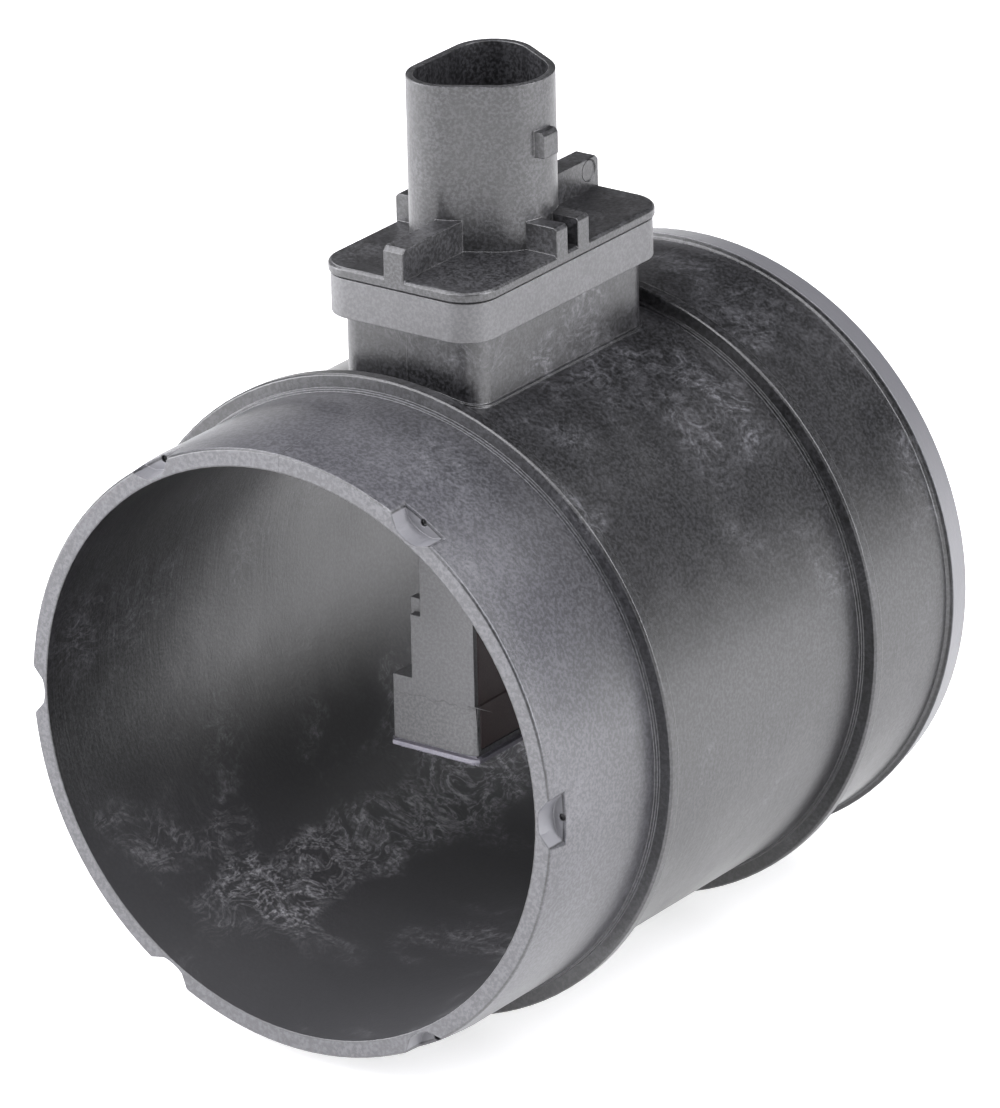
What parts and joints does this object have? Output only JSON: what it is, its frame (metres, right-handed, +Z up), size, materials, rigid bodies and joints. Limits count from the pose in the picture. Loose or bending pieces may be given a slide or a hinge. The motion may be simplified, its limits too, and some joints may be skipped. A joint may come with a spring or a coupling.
{
  "type": "mass airflow sensor",
  "caption": "Round duct tube with two stop ribs and a notched rim, carrying a plug-in hot-film airflow sensor with a sealed upright connector socket.",
  "frame": {"origin": "on the duct axis, at the middle of the front hose sleeve's clamping land", "axes": "+Y along the duct from the notched front end to the beaded rear end, +Z up through the sensor to the connector, +X to the side of the connector's key"},
  "size_m": [0.0929, 0.1003, 0.1301],
  "materials": {
    "tube_plastic": "black glass-filled moulding, satin, with pale flow marks",
    "lid_plastic": "black glass-filled moulding, fine satin",
    "sensor_plastic": "dark brownish-grey glass-filled moulding, matte",
    "cover_plastic": "dark brown glass-filled moulding, matte, welded edges",
    "end_plate_plastic": "pale grey moulding with rough weld flash",
    "gasket_rubber": "black rubber",
    "seal_silicone": "brick-red silicone rubber",
    "carrier_ceramic": "white ceramic",
    "track_gold": "thin gold film",
    "chip_silicon": "polished silicon",
    "lead_metal": "tinned bronze strip and wire",
    "bead_glass": "black glass coat",
    "board_laminate": "green solder mask over glass laminate",
    "package_black": "black moulded package",
    "capacitor_ceramic": "tan ceramic with tinned ends",
    "solder": "bright solder",
    "terminal_tin": "tin-plated blade"
  },
  "bodies": {
    "root": {"duct_tube": "tube_plastic", "base_gasket": "gasket_rubber", "sensor_body": "sensor_plastic", "plug_seal": "seal_silicone", "end_plate": "end_plate_plastic", "bypass_cover": "cover_plastic", "lead_cover": "cover_plastic", "chip_carrier": "carrier_ceramic", "carrier_tracks": "track_gold", "sensing_chip": "chip_silicon", "sensor_leads": "lead_metal", "air_temperature_bead": "bead_glass", "bead_wires": "lead_metal", "circuit_board": "board_laminate", "signal_chip": "package_black", "voltage_regulator": "package_black", "capacitors": "capacitor_ceramic", "resistors": "package_black", "solder_joints": "solder", "lid_gasket": "gasket_rubber", "connector_lid": "lid_plastic", "terminal_1": "terminal_tin", "terminal_2": "terminal_tin", "terminal_3": "terminal_tin", "terminal_4": "terminal_tin"}
  },
  "joints": []
}
